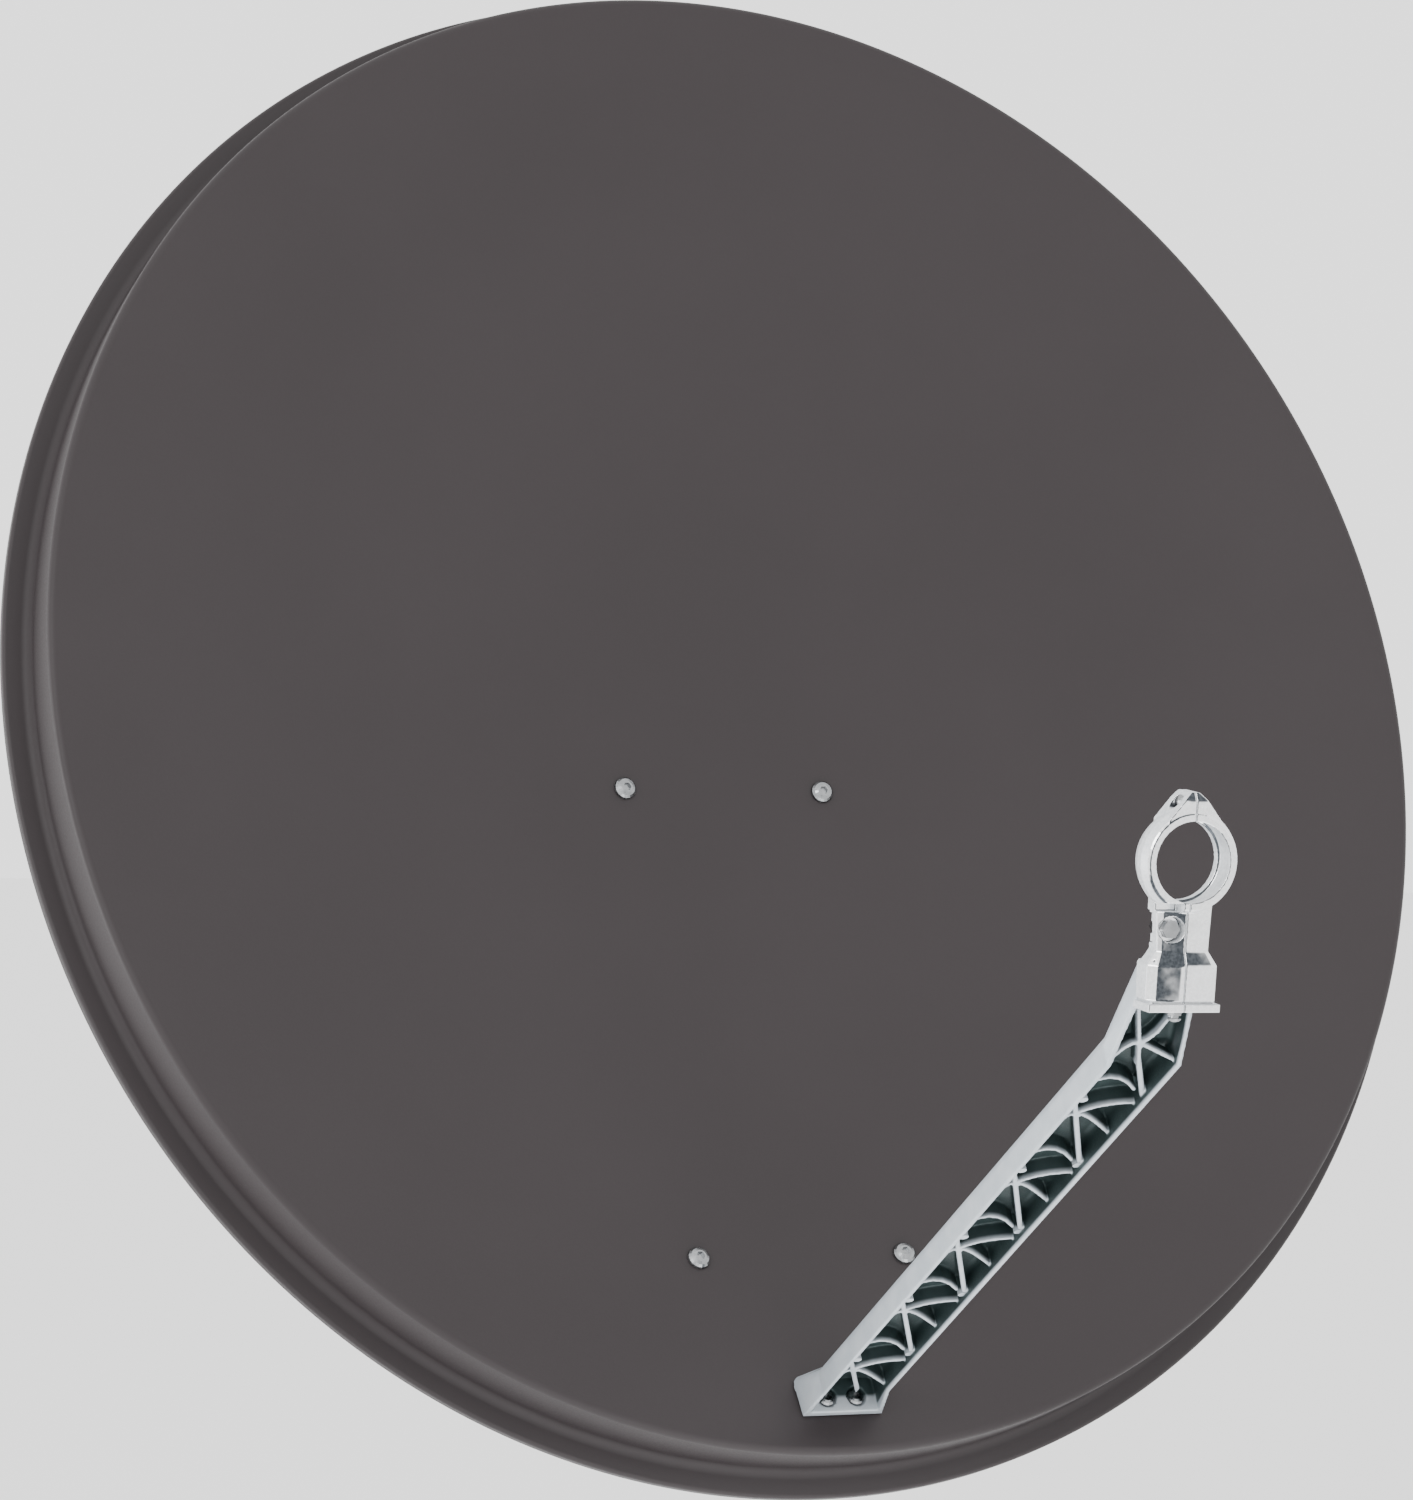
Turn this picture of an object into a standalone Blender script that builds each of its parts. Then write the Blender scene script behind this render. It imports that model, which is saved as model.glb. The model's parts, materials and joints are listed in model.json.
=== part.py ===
"""Offset satellite dish: pressed aluminium reflector, die-cast feed arm with a two-part 40 mm
feed holder, tilting back frame and mast clamp. Metres, +Z up, origin on the mast axis at the
middle of the clamp; the dish looks along -Y."""

import math

import bmesh
import bpy
from mathutils import Matrix, Vector

# Reflector: an offset paraboloid cut by its rim plane, with a skirt and an outer flange
HALF_WIDTH = 0.4038
HALF_HEIGHT = 0.4288
FOCAL_LENGTH = 0.50
OFFSET_ANGLE = math.acos(HALF_WIDTH / HALF_HEIGHT)
SHEET = 0.0016
SKIRT_DEPTH = 0.039
FLANGE = 0.0212
LIP_DEPTH = 0.006
BOWL_RINGS = 16
TURN_STEPS = 64

# Places in the dish frame: x to the right, v up the rim plane, w out of the bowl
SCREW_HALF_SPACING = 0.061
SCREW_V_UPPER = -0.036
SCREW_V_LOWER = -0.318
FOOT_V = -0.4040
RING_CENTRE = Vector((0.0, -0.2475, 0.4603))
RING_TILT = math.radians(25.0)

# Tilt of the rim plane at rest and the elevation pivot
REST_LEAN = math.radians(19.0)
PIVOT = Vector((0.0, -0.085, 0.040))
PIVOT_ALONG = 0.050
PIVOT_BEHIND = 0.072
LOCK_RADIUS = 0.070
TILT_UP = math.radians(22.0)
TILT_DOWN = math.radians(12.0)

# Feed arm: an open channel, straight up to the knee, then bent towards the holder
ARM_KNEE = Vector((0.0, -0.3252, 0.3860))
ARM_LEAN = math.radians(12.0)
TIP_LEAN = math.radians(38.3)
ARM_HALF_WIDTH = 0.0193
ARM_DEPTH = 0.016
ARM_WALL = 0.0024
ARM_ROUND = 0.0055
TIP_LENGTH = 0.050
TIP_HALF_WIDTH = 0.0139
TIP_DEPTH = 0.013
RIB = 0.0019
RIB_BELOW_RIM = 0.004
RIB_FOOT = 0.0141
RIB_END = 0.0178
RIB_STEP = 0.00013
RIB_PITCH = 0.075
RIB_CELLS = 5
FIRST_NODE = -0.0576
NODE_X = -0.0091
ARM_BOLT_X = 0.0085
FOOT_FLOOR = 0.0040
FOOT_LIFT = 0.0010

# Feed holder: two half shells round a 40 mm feed neck
RING_Q = -0.0027
BORE = 0.0200
BORE_LIP = 0.0187
RING_FRONT = 0.0228
RING_OUTER = 0.0243
RING_DEPTH = 0.016
NECK_HALF = 0.0138
BLOCK_HALF = 0.0172
LIP_HALF = 0.0182
NECK_BACK = -0.0138
TONGUE_FRONT = -0.0113
NECK_BOLT = Vector((-0.0065, -0.0340, -0.0080))
RING_SCREW = (0.0243, -0.0080)
BOSS_HALF = 0.0042
HALF_GAP = 0.00015

# Mast clamp
MAST_RADIUS = 0.025
JAW_HEIGHT = 0.030
JAW_Z = 0.035
CLAMP_BOLT_X = 0.038
CLAMP_BOLT_END = 0.066
WEB_FRONT = -0.040
WEB_BACK = -0.036
EAR_OUTER = 0.0515
EAR_THICKNESS = 0.003
CHEEK_OUTER = 0.0470
CHEEK_THICKNESS = 0.0025
FRAME_WEB = 0.024
BOSS_END = 0.0305

GAP = 0.0003
M8 = 0.0040
M6 = 0.0030
M5 = 0.0024
M4 = 0.0019

PAINT = ((0.088, 0.078, 0.079, 1.0), 0.55, 0.0)
CAST = ((0.50, 0.53, 0.56, 1.0), 0.45, 0.7)
POLISHED = ((0.80, 0.81, 0.82, 1.0), 0.12, 1.0)
ZINC = ((0.55, 0.56, 0.57, 1.0), 0.35, 1.0)
STEEL = ((0.66, 0.67, 0.68, 1.0), 0.25, 1.0)


# ---------------------------------------------------------------- scene helpers

def clear_scene():
    for item in list(bpy.data.objects):
        bpy.data.objects.remove(item)


def new_collection(name):
    found = bpy.data.collections.new(name)
    bpy.context.scene.collection.children.link(found)
    return found


clear_scene()
PARTS = new_collection("satellite_dish")
CUTTERS = new_collection("cutters")


def material_for(name, finish):
    colour, roughness, metallic = finish
    made = bpy.data.materials.new(name)
    made.use_nodes = True
    shader = made.node_tree.nodes["Principled BSDF"]
    shader.inputs["Base Color"].default_value = colour
    shader.inputs["Roughness"].default_value = roughness
    shader.inputs["Metallic"].default_value = metallic
    return made


def object_from(name, mesh, matrix):
    made = bpy.data.objects.new(name, mesh)
    CUTTERS.objects.link(made)
    made.matrix_world = matrix
    made.hide_render = True
    made.display_type = "WIRE"
    return made


def from_bmesh(name, shape, matrix):
    mesh = bpy.data.meshes.new(name)
    shape.to_mesh(mesh)
    shape.free()
    return object_from(name, mesh, matrix)


def publish(part, finish, parent=None, smooth=False):
    """Moves a finished shape from the helpers to the parts, with its material and parent."""
    CUTTERS.objects.unlink(part)
    PARTS.objects.link(part)
    part.hide_render = False
    part.display_type = "TEXTURED"
    part.data.materials.clear()
    part.data.materials.append(material_for(part.name, finish))
    if smooth:
        part.data.shade_smooth()
        part.data.set_sharp_from_angle(angle=math.radians(35))
    if parent is not None:
        place = part.matrix_world.copy()
        part.parent = parent
        part.matrix_parent_inverse = parent.matrix_world.inverted()
        part.matrix_world = place
    return part


def new_empty(name, location):
    made = bpy.data.objects.new(name, None)
    PARTS.objects.link(made)
    made.location = location
    bpy.context.view_layer.update()
    return made


def combine(part, other, operation):
    change = part.modifiers.new(operation.lower() + "_" + other.name, "BOOLEAN")
    change.operation = operation
    change.object = other
    change.solver = "EXACT"
    return part


def cut(part, other):
    return combine(part, other, "DIFFERENCE")


def join(part, other):
    return combine(part, other, "UNION")


# ---------------------------------------------------------------- shape helpers

def frame(origin, x_axis, y_axis):
    """A placement with its local x and y along the given directions."""
    x = Vector(x_axis).normalized()
    z = x.cross(Vector(y_axis)).normalized()
    y = z.cross(x)
    turn = Matrix((x, y, z)).transposed().to_4x4()
    return Matrix.Translation(origin) @ turn


def box(name, low, high, matrix=Matrix.Identity(4)):
    low, high = Vector(low), Vector(high)
    shape = bmesh.new()
    bmesh.ops.create_cube(shape, size=1.0)
    size = high - low
    bmesh.ops.scale(shape, vec=size, verts=shape.verts)
    bmesh.ops.translate(shape, vec=(low + high) / 2, verts=shape.verts)
    return from_bmesh(name, shape, matrix)


def cylinder(name, radius, z_low, z_high, matrix, sides=20, top_radius=None):
    shape = bmesh.new()
    top = radius if top_radius is None else top_radius
    bmesh.ops.create_cone(shape, cap_ends=True, segments=sides, radius1=radius,
                          radius2=top, depth=z_high - z_low)
    bmesh.ops.translate(shape, vec=(0, 0, (z_low + z_high) / 2), verts=shape.verts)
    return from_bmesh(name, shape, matrix)


def circle(radius, sides=20, centre=(0.0, 0.0), start=0.0):
    turn = 2 * math.pi / sides
    return [(centre[0] + radius * math.cos(start + i * turn),
             centre[1] + radius * math.sin(start + i * turn)) for i in range(sides)]


def arc(centre, radius, first, last, steps):
    """Points on an arc between two angles in degrees, both ends included."""
    angles = [math.radians(first + (last - first) * i / steps) for i in range(steps + 1)]
    return [(centre[0] + radius * math.cos(a), centre[1] + radius * math.sin(a)) for a in angles]


def prism(name, outlines, z_low, z_high, matrix):
    """A flat outline, with its holes, given thickness along local z."""
    curve = bpy.data.curves.new(name, "CURVE")
    curve.dimensions = "2D"
    curve.fill_mode = "BOTH"
    curve.extrude = (z_high - z_low) / 2
    for outline in outlines:
        line = curve.splines.new("POLY")
        line.points.add(len(outline) - 1)
        for point, (x, y) in zip(line.points, outline):
            point.co = (x, y, 0, 1)
        line.use_cyclic_u = True
    drawn = bpy.data.objects.new(name + "_outline", curve)
    CUTTERS.objects.link(drawn)
    graph = bpy.context.evaluated_depsgraph_get()
    mesh = bpy.data.meshes.new_from_object(drawn.evaluated_get(graph))
    bpy.data.objects.remove(drawn)
    shape = bmesh.new()
    shape.from_mesh(mesh)
    bmesh.ops.remove_doubles(shape, verts=shape.verts, dist=1e-6)
    bmesh.ops.recalc_face_normals(shape, faces=shape.faces)
    bmesh.ops.translate(shape, vec=(0, 0, (z_low + z_high) / 2), verts=shape.verts)
    shape.to_mesh(mesh)
    shape.free()
    mesh.name = name
    return object_from(name, mesh, matrix)


def turned(name, profile, matrix, steps=20):
    """A profile of (radius, z) points, top to bottom down its outer side, turned about local z."""
    mesh = bpy.data.meshes.new(name)
    edges = [(i, i + 1) for i in range(len(profile) - 1)]
    mesh.from_pydata([(r, 0, z) for r, z in profile], edges, [])
    made = object_from(name, mesh, matrix)
    spin = made.modifiers.new("turn", "SCREW")
    spin.steps = steps
    spin.render_steps = steps
    spin.use_merge_vertices = True
    spin.merge_threshold = 0.00001
    return made


def loft(name, sections, matrix=Matrix.Identity(4)):
    """A closed body through sections that have the same number of points."""
    shape = bmesh.new()
    rings = [[shape.verts.new(p) for p in section] for section in sections]
    count = len(sections[0])
    for lower, upper in zip(rings, rings[1:]):
        for i in range(count):
            j = (i + 1) % count
            shape.faces.new((lower[i], lower[j], upper[j], upper[i]))
    shape.faces.new(list(reversed(rings[0])))
    shape.faces.new(rings[-1])
    bmesh.ops.recalc_face_normals(shape, faces=shape.faces)
    bmesh.ops.triangulate(shape, faces=shape.faces)
    return from_bmesh(name, shape, matrix)


# ---------------------------------------------------------------- fasteners

def hexagon(across_flats):
    return circle(across_flats / math.sqrt(3), 6)


def hex_bolt(name, radius, length, matrix):
    """A hex bolt with its head above local z = 0 and its shank below."""
    bolt = cylinder(name, radius, -length, radius, matrix, 32)
    head = prism(name + "_head", [hexagon(radius * 3.2)], 0, radius * 1.3, matrix)
    return join(bolt, head)


def round_bolt(name, radius, length, matrix, socket=True):
    """A domed bolt with its head above local z = 0, with a hexagon socket in it."""
    wide, tall = radius * 1.68, radius * 0.95
    dome = [(wide * math.cos(a), tall * math.sin(a))
            for a in (math.radians(d) for d in (78, 60, 40, 20))]
    profile = [(0, tall)] + dome + [(wide, 0), (radius, 0), (radius, -length), (0, -length)]
    bolt = turned(name, profile, matrix)
    if socket:
        key = prism(name + "_socket", [hexagon(radius * 1.1)], tall * 0.45, tall * 2, matrix)
        cut(bolt, key)
    return bolt


def nut(name, radius, matrix, thickness=None):
    """A flanged hex nut that stands on local z = 0."""
    tall = radius * 1.7 if thickness is None else thickness
    hole = circle(radius + GAP, 16)
    body = prism(name, [hexagon(radius * 3.2), hole], radius * 0.2, tall, matrix)
    flange = prism(name + "_flange", [circle(radius * 2.1, 20), hole], 0, radius * 0.35, matrix)
    return join(body, flange)


# ---------------------------------------------------------------- frames of the object

def dish_axes(lean):
    up = Vector((0, math.sin(lean), math.cos(lean)))
    out = Vector((0, -math.cos(lean), math.sin(lean)))
    return up, out


def bowl_point(x, v_flat):
    """A point of the front surface in the dish frame, under point (x, v_flat) of the rim plane."""
    reach = v_flat * math.cos(OFFSET_ANGLE)
    depth = (HALF_WIDTH ** 2 - x ** 2 - reach ** 2) / (4 * FOCAL_LENGTH)
    return Vector((x, v_flat - depth * math.sin(OFFSET_ANGLE), -depth * math.cos(OFFSET_ANGLE)))


def surface_at(x, v):
    """The front surface at (x, v) and its outward normal, in the dish frame."""
    v_flat = v
    for _ in range(20):
        v_flat += v - bowl_point(x, v_flat).y
    step = 1e-4
    here = bowl_point(x, v_flat)
    across = bowl_point(x + step, v_flat) - bowl_point(x - step, v_flat)
    along = bowl_point(x, v_flat + step) - bowl_point(x, v_flat - step)
    return here, across.cross(along).normalized()


def chord_frame():
    """The frame of the line between the upper and lower screws on the back of the sheet."""
    upper, _ = surface_at(0, SCREW_V_UPPER)
    lower, _ = surface_at(0, SCREW_V_LOWER)
    side = SCREW_HALF_SPACING ** 2 / (4 * FOCAL_LENGTH)
    lift = Vector((0, 0, side - SHEET))
    return (upper + lower) / 2 + lift, (upper - lower).normalized()


UP, OUT = dish_axes(REST_LEAN)
RIM_TURN = Matrix((Vector((1, 0, 0)), UP, OUT)).transposed().to_4x4()
CHORD_MIDDLE, CHORD_UP = chord_frame()
CHORD_BACK = Vector((1, 0, 0)).cross(CHORD_UP) * -1
PIVOT_IN_DISH = CHORD_MIDDLE + PIVOT_ALONG * CHORD_UP + PIVOT_BEHIND * CHORD_BACK
DISH = Matrix.Translation(PIVOT - RIM_TURN @ PIVOT_IN_DISH) @ RIM_TURN
CHORD = DISH @ frame(CHORD_MIDDLE, (1, 0, 0), CHORD_UP)


def on_surface(x, v):
    """A placement on the front surface with local z out of the bowl, local y up the dish."""
    point, normal = surface_at(x, v)
    upward = normal.cross(Vector((1, 0, 0)))
    return DISH @ frame(point, upward.cross(normal), upward)


# ---------------------------------------------------------------- reflector

def reflector_profile():
    """The sheet's front face from the centre over the rim, down the skirt and out to the lip."""
    bowl = []
    for i in range(BOWL_RINGS + 1):
        share = i / BOWL_RINGS
        depth = HALF_WIDTH ** 2 * (1 - share ** 2) / (4 * FOCAL_LENGTH)
        bowl.append((HALF_WIDTH * share, -depth * math.cos(OFFSET_ANGLE)))
    edge = [(r + HALF_WIDTH, w) for r, w in arc((0.00135, -0.00334), 0.0036, 90, 8, 3)]
    fillet_centre = (HALF_WIDTH + 0.0115, -SKIRT_DEPTH + 0.0060)
    fillet = arc(fillet_centre, 0.0060, 190, 270, 3)
    outer = HALF_WIDTH + FLANGE
    lip = [(outer - 0.0022, -SKIRT_DEPTH), (outer - 0.0005, -SKIRT_DEPTH - 0.0008),
           (outer, -SKIRT_DEPTH - LIP_DEPTH)]
    return bowl + edge + fillet + lip


def oval(point):
    """Turns the round reflector into the oval one and shears the bowl to its offset axis."""
    radius = math.hypot(point.x, point.y)
    if radius == 0:
        return Vector((0, point.z * math.tan(OFFSET_ANGLE), point.z))
    stretch = HALF_HEIGHT / HALF_WIDTH - 1
    v = point.y * (1 + stretch * min(radius, HALF_WIDTH) / radius)
    if radius < HALF_WIDTH:
        v += point.z * math.tan(OFFSET_ANGLE)
    return Vector((point.x, v, point.z))


def make_reflector(parent):
    profile = turned("reflector_sheet", reflector_profile(), Matrix.Identity(4), TURN_STEPS)
    graph = bpy.context.evaluated_depsgraph_get()
    mesh = bpy.data.meshes.new_from_object(profile.evaluated_get(graph))
    bpy.data.objects.remove(profile)
    for vertex in mesh.vertices:
        vertex.co = oval(vertex.co)
    sheet = object_from("reflector", mesh, DISH)
    solid = sheet.modifiers.new("sheet", "SOLIDIFY")
    solid.thickness = SHEET
    solid.offset = -1.0
    for side in (-1, 1):
        for v in (SCREW_V_UPPER, SCREW_V_LOWER):
            place = on_surface(side * SCREW_HALF_SPACING, v)
            cut(sheet, cylinder("screw_hole", M8 + GAP, -0.01, 0.01, place))
        place = on_surface(0, FOOT_V) @ Matrix.Translation((side * ARM_BOLT_X, 0, 0))
        cut(sheet, cylinder("foot_hole", M6 + GAP, -0.01, 0.01, place))
    return publish(sheet, PAINT, parent, smooth=True)


# ---------------------------------------------------------------- back frame

def i_outline():
    """The frame's front plate: a strip with a wide bar at each end."""
    top, bar, wide, narrow = 0.162, 0.118, 0.076, CHEEK_OUTER
    right = [(wide, -top), (wide, -bar), (narrow, -bar + 0.012),
             (narrow, bar - 0.012), (wide, bar), (wide, top)]
    return right + [(-x, y) for x, y in reversed(right)]


def cheek_outline():
    """The frame's side plates, deepest round the pivot; local x up the frame, y backwards."""
    boss = arc((PIVOT_ALONG, PIVOT_BEHIND), 0.018, 20, 110, 4)
    heel = arc((PIVOT_ALONG - LOCK_RADIUS, PIVOT_BEHIND), 0.015, 100, 190, 4)
    return [(-0.150, FRAME_WEB + 0.001), (0.150, FRAME_WEB + 0.001), (0.150, 0.036)] + boss \
        + heel + [(-0.150, 0.036)]


def make_back_frame(parent):
    thickness = CHEEK_THICKNESS
    body = prism("back_frame", [i_outline()], -FRAME_WEB - thickness, -FRAME_WEB, CHORD)
    across = CHORD @ Matrix(((0, 0, -1, 0), (1, 0, 0, 0), (0, -1, 0, 0), (0, 0, 0, 1)))
    inside = CHEEK_OUTER - thickness - 0.0001
    for low in (inside, -inside - thickness):
        join(body, prism("cheek", [cheek_outline()], low, low + thickness, across))
    for side in (-1, 1):
        for v in (SCREW_V_UPPER, SCREW_V_LOWER):
            place = on_surface(side * SCREW_HALF_SPACING, v)
            boss = cylinder("boss", 0.0125, -BOSS_END, -SHEET - GAP, place, 20, 0.0115)
            join(body, boss)
            cut(body, cylinder("boss_bore", M8 + GAP, -0.06, 0.01, place))
    for x, y in ((PIVOT_ALONG, PIVOT_BEHIND), (PIVOT_ALONG - LOCK_RADIUS, PIVOT_BEHIND)):
        spot = across @ Matrix.Translation((x, y, 0))
        hole = cylinder("pin_hole", M8 + GAP, -0.07, 0.07, spot, 32)
        cut(body, hole)
    return publish(body, CAST, parent)


def make_reflector_fasteners(parent):
    corners = (("upper_left", -1, SCREW_V_UPPER), ("upper_right", 1, SCREW_V_UPPER),
               ("lower_left", -1, SCREW_V_LOWER), ("lower_right", 1, SCREW_V_LOWER))
    for name, side, v in corners:
        place = on_surface(side * SCREW_HALF_SPACING, v)
        seat = place @ Matrix.Translation((0, 0, GAP))
        screw = round_bolt("reflector_screw_" + name, M8, BOSS_END + 0.012, seat)
        publish(screw, STEEL, parent, smooth=True)
        back = place @ Matrix.Translation((0, 0, -BOSS_END - GAP))
        publish(nut("reflector_nut_" + name, M8, back @ Matrix.Rotation(math.pi, 4, "X")),
                ZINC, parent)


# ---------------------------------------------------------------- feed arm

def arm_station(s):
    """Point on the open face at distance s from the knee, the arm's direction there and its
    inward direction, in the dish frame."""
    lean = ARM_LEAN if s <= 0 else TIP_LEAN
    along = Vector((0, math.sin(lean), math.cos(lean)))
    inward = Vector((0, math.cos(lean), -math.sin(lean)))
    return ARM_KNEE + s * along, along, inward


def channel_section(origin, inward, half_width, low, depth, rounding):
    """The channel's outer section: open edges at low, back at depth, with rounded back edges."""
    centre = (half_width - rounding, depth - rounding)
    corner = arc(centre, rounding, 0, 90, 3)
    right = [(half_width, low)] + corner
    points = right + [(-x, h) for x, h in reversed(right)]
    return [origin + Vector((x, 0, 0)) + h * inward for x, h in points]


def knee_inward():
    """Inward direction of the section at the knee, which leans a little towards the tip."""
    _, along, inward = arm_station(0)
    return inward + 0.15 * along


def make_arm_body():
    base, _, inward = arm_station(-0.420)
    flare, _, _ = arm_station(-0.378)
    tip, _, tip_inward = arm_station(TIP_LENGTH)
    start, _, _ = arm_station(-0.404)
    sections = [
        channel_section(base, inward, 0.0235, -0.0035, 0.0215, ARM_ROUND),
        channel_section(start, inward, 0.0235, -0.0035, 0.0215, ARM_ROUND),
        channel_section(flare, inward, ARM_HALF_WIDTH, 0, ARM_DEPTH, ARM_ROUND),
        channel_section(ARM_KNEE, knee_inward(), ARM_HALF_WIDTH, 0, ARM_DEPTH, ARM_ROUND),
        channel_section(tip, tip_inward, TIP_HALF_WIDTH, 0, TIP_DEPTH, 0.003),
    ]
    return loft("feed_arm", sections, DISH)


def make_arm_pocket():
    wall = ARM_WALL
    low = -0.012
    base, _, inward = arm_station(-0.3975)
    flare, _, _ = arm_station(-0.3768)
    end, _, tip_inward = arm_station(TIP_LENGTH - 0.017)
    taper = (ARM_HALF_WIDTH - TIP_HALF_WIDTH) / TIP_LENGTH
    end_half = ARM_HALF_WIDTH - taper * (TIP_LENGTH - 0.017)
    sections = [
        channel_section(base, inward, 0.0222 - wall, low, 0.0195 - wall, 0.003),
        channel_section(flare, inward, ARM_HALF_WIDTH - wall, low, ARM_DEPTH - wall, 0.003),
        channel_section(ARM_KNEE, knee_inward(), ARM_HALF_WIDTH - wall, low,
                        ARM_DEPTH - wall, 0.003),
        channel_section(end, tip_inward, end_half - wall, low, TIP_DEPTH - wall, 0.003),
    ]
    return loft("arm_pocket", sections, DISH)


def ribbon(name, path, thickness, plane, z_low, z_high):
    """A thin upright rib that follows a path of (x, s) points in the arm's plane; an end that
    runs into a side wall is cut parallel to it."""
    left, right = [], []
    for i, (x, s) in enumerate(path):
        before, after = Vector(path[max(i - 1, 0)]), Vector(path[min(i + 1, len(path) - 1)])
        direction = (after - before).normalized()
        side = Vector((-direction.y, direction.x)) * thickness / 2
        if abs(x) == RIB_END:
            side = Vector((0, thickness / 2 / direction.x))
        left.append((x + side.x, s + side.y))
        right.append((x - side.x, s - side.y))
    return prism(name, [left + list(reversed(right))], z_low, z_high, plane)


def bezier(points, steps):
    """Points on a cubic curve through four control points."""
    found = []
    for i in range(steps + 1):
        t = i / steps
        weights = ((1 - t) ** 3, 3 * t * (1 - t) ** 2, 3 * t * t * (1 - t), t ** 3)
        found.append(tuple(sum(w * p[k] for w, p in zip(weights, points)) for k in (0, 1)))
    return found


def cell_ribs(s):
    """Paths of one cell's ribs round its node at (NODE_X, s): the diagonal, three curved ribs
    that leave the node, and the curved rib that ends free."""
    near, far = -RIB_END, RIB_END
    node = (NODE_X, s)
    return [
        ([(near, s + 0.0185), (far, s - 0.0565)], RIB * 1.35),
        (bezier([node, (-0.003, s + 0.008), (0.006, s + 0.011), (far, s + 0.0112)], 5), RIB),
        (bezier([node, (-0.002, s - 0.001), (0.006, s - 0.010), (far, s - 0.0215)], 5), RIB),
        (bezier([node, (-0.013, s - 0.001), (-0.0155, s - 0.010), (near, s - 0.024)], 4), RIB),
        (bezier([(near, s + 0.023), (-0.014, s + 0.040), (-0.003, s + 0.042),
                 (0.0115, s + 0.0235)], 6), RIB * 0.9),
    ]


def make_feed_arm(parent):
    arm = cut(make_arm_body(), make_arm_pocket())
    _, along, _ = arm_station(-0.1)
    plane = DISH @ frame(ARM_KNEE, (1, 0, 0), along)
    depth = -RIB_FOOT
    for cell in range(RIB_CELLS):
        s = FIRST_NODE - cell * RIB_PITCH
        for i, (path, thickness) in enumerate(cell_ribs(s)):
            drop = i * RIB_STEP
            join(arm, ribbon("rib", path, thickness, plane, depth + drop, -RIB_BELOW_RIM - drop))
    knee_ribs(arm, plane, depth)
    place = on_surface(0, FOOT_V)
    cut(arm, box("foot_cut", (-0.06, -0.06, -0.08), (0.06, 0.06, FOOT_LIFT), place))
    for side in (-1, 1):
        spot = place @ Matrix.Translation((side * ARM_BOLT_X, 0, 0))
        cut(arm, cylinder("foot_bolt_hole", M6 + GAP, -0.02, 0.02, spot, 16))
        cut(arm, cylinder("foot_head_room", 0.0056, FOOT_FLOOR, 0.03, spot, 20))
    join(arm, box("arm_nose", (-0.0130, -0.0650, -0.0190), (0.0130, -0.0535, -0.0050), HOLDER))
    cut(arm, cylinder("holder_bolt_hole", M4 + GAP, -0.02, 0.03, HOLDER @ HOLDER_BOLT, 16))
    return publish(arm, CAST, parent)


def knee_ribs(arm, plane, depth):
    """The crossed ribs between the last cell and the tip's solid end."""
    lower = [(RIB_END, -0.039), (-0.0015, -0.001)]
    join(arm, ribbon("knee_rib", lower, RIB * 1.35, plane, depth, -RIB_BELOW_RIM))
    _, along, _ = arm_station(0.1)
    upper_plane = DISH @ frame(ARM_KNEE, (1, 0, 0), along)
    upper_depth = -(TIP_DEPTH - ARM_WALL * 0.3)
    node = (-0.0040, 0.0106)
    paths = [
        [(-0.0005, -0.003), node, (-0.0112, 0.0335)],
        bezier([node, (0.002, 0.0125), (0.006, 0.018), (0.0095, 0.0335)], 4),
        [node, (0.0172, 0.0005)],
        bezier([node, (-0.009, 0.011), (-0.013, 0.006), (-0.0175, -0.001)], 4),
    ]
    for i, path in enumerate(paths):
        drop = i * RIB_STEP
        join(arm, ribbon("knee_rib", path, RIB, upper_plane, upper_depth + drop,
                         -RIB_BELOW_RIM * 0.8 - drop))


def make_arm_fasteners(parent):
    place = on_surface(0, FOOT_V)
    back = -SHEET - GAP
    plate_outline = [(-0.021, -0.012), (0.021, -0.012), (0.021, 0.014), (-0.021, 0.014)]
    holes = [circle(M6 + GAP, 16, (side * ARM_BOLT_X, 0)) for side in (-1, 1)]
    plate = prism("arm_backing_plate", [plate_outline] + holes, back - 0.003, back, place)
    publish(plate, ZINC, parent)
    for name, side in (("left", -1), ("right", 1)):
        spot = place @ Matrix.Translation((side * ARM_BOLT_X, 0, FOOT_FLOOR + GAP))
        bolt = round_bolt("arm_bolt_" + name, M6, FOOT_FLOOR + 0.014, spot)
        publish(bolt, STEEL, parent, smooth=True)
        behind = place @ Matrix.Translation((side * ARM_BOLT_X, 0, back - 0.003 - GAP))
        publish(nut("arm_nut_" + name, M6, behind @ Matrix.Rotation(math.pi, 4, "X")),
                ZINC, parent)


# ---------------------------------------------------------------- feed holder

HOLDER = DISH @ frame(RING_CENTRE, (1, 0, 0),
                      Vector((0, math.cos(RING_TILT), math.sin(RING_TILT))))
HOLDER_BOLT = Matrix.Translation((0, -0.0712, -0.0085)) @ Matrix.Rotation(math.pi / 2, 4, "X")
SIDE_AXIS = Matrix.Rotation(math.pi / 2, 4, "Y")
RING = Matrix.Translation((0, RING_Q, 0))


def holder_outline():
    """Outline of neck, hood and the roof-shaped boss over the ring, in the ring's plane."""
    right = [(BLOCK_HALF, -0.0665), (BLOCK_HALF, -0.0500), (NECK_HALF - 0.0012, -0.0435),
             (NECK_HALF, -0.0200), (0.0135, 0.0160), (0.0052, 0.0262), (0.0020, 0.0290)]
    return right + [(-x, y) for x, y in reversed(right)]


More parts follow.
